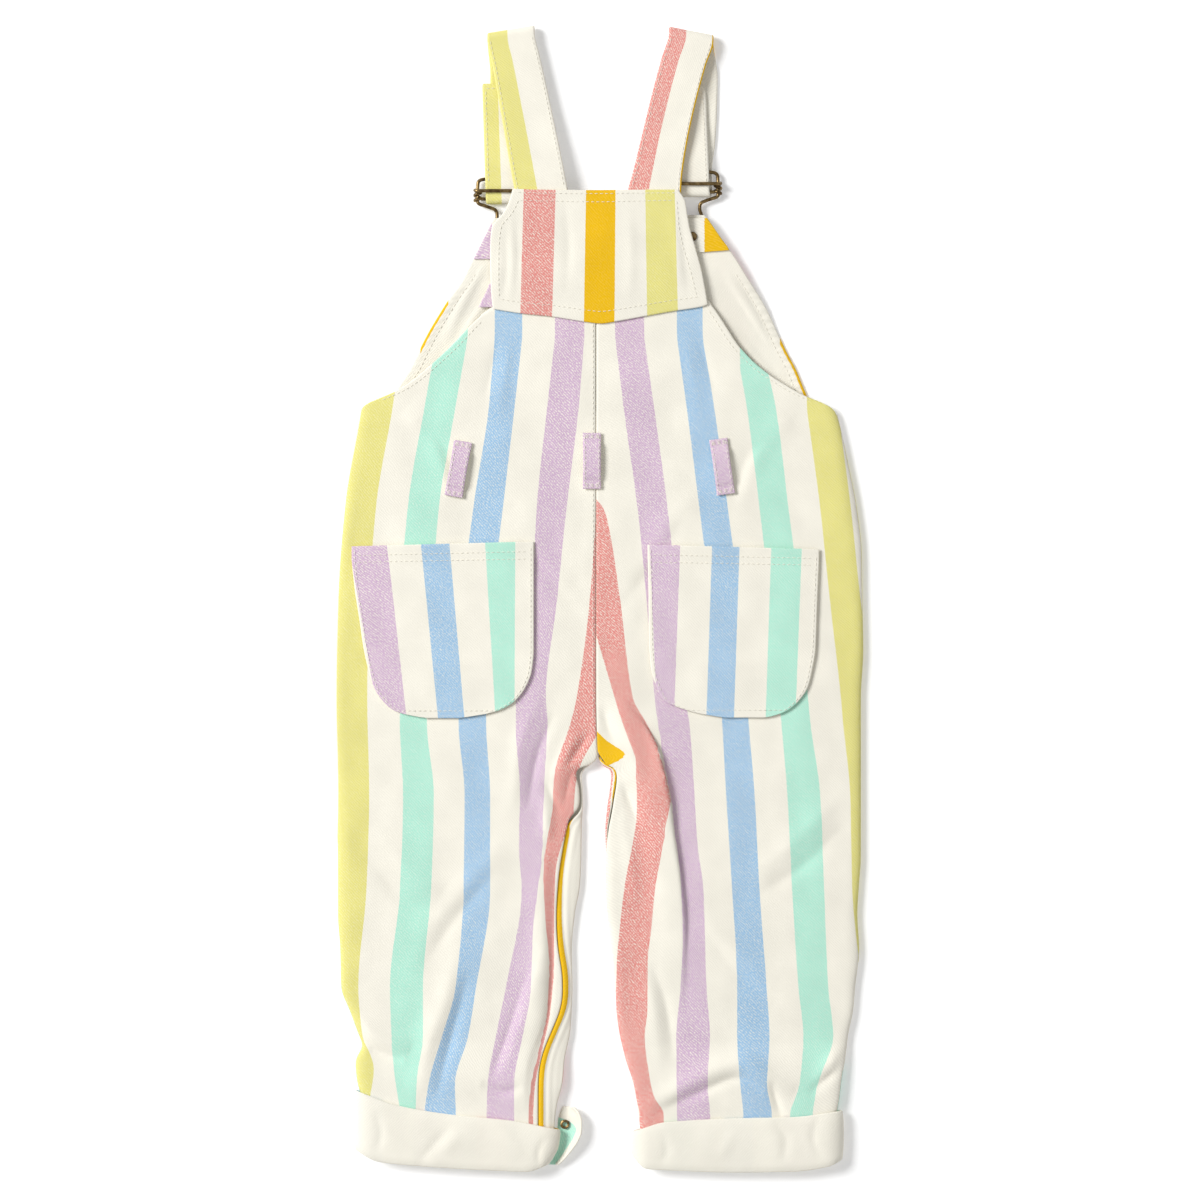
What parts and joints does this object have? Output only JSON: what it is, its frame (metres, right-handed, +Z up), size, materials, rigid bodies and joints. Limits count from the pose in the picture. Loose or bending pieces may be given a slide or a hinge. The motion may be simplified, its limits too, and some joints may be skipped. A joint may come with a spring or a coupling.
{
  "type": "kids bib overalls",
  "caption": "Child's bib overalls in pastel striped cotton twill with wire strap buckles and turned-up cuffs, laid flat with the back up.",
  "frame": {"origin": "on the surface the garment lies on, under the middle of its bounding box", "axes": "+X to the wearer's right, +Y towards the shoulder straps, +Z up from the surface, out of the garment's back"},
  "size_m": [0.3308, 0.7152, 0.0135],
  "materials": {
    "striped_twill": "cotton twill printed with wide lime, mint, blue, purple, pink and orange stripes on cream",
    "plain_twill": "the cream unprinted reverse of the twill",
    "antique_brass": "dark antique bronze wire, worn brighter on its rounds"
  },
  "bodies": {
    "root": {"back_left": "striped_twill", "back_right": "striped_twill", "front_left": "striped_twill", "front_right": "striped_twill", "bib": "plain_twill", "bib_facing": "striped_twill", "back_yoke": "striped_twill", "yoke_facing": "striped_twill", "strap_left": "striped_twill", "strap_right": "striped_twill", "belt_loop_left": "striped_twill", "belt_loop_centre": "striped_twill", "belt_loop_right": "striped_twill", "back_pocket_left": "striped_twill", "back_pocket_right": "striped_twill", "cuff_left": "plain_twill", "cuff_right": "plain_twill", "cuff_end_left": "striped_twill", "popper_left": "antique_brass", "buckle_left": "antique_brass", "buckle_right": "antique_brass", "buckle_slider_left": "antique_brass", "buckle_slider_right": "antique_brass", "bib_button_left": "antique_brass", "bib_button_right": "antique_brass", "button_back_left": "antique_brass", "button_back_right": "antique_brass"}
  },
  "joints": []
}
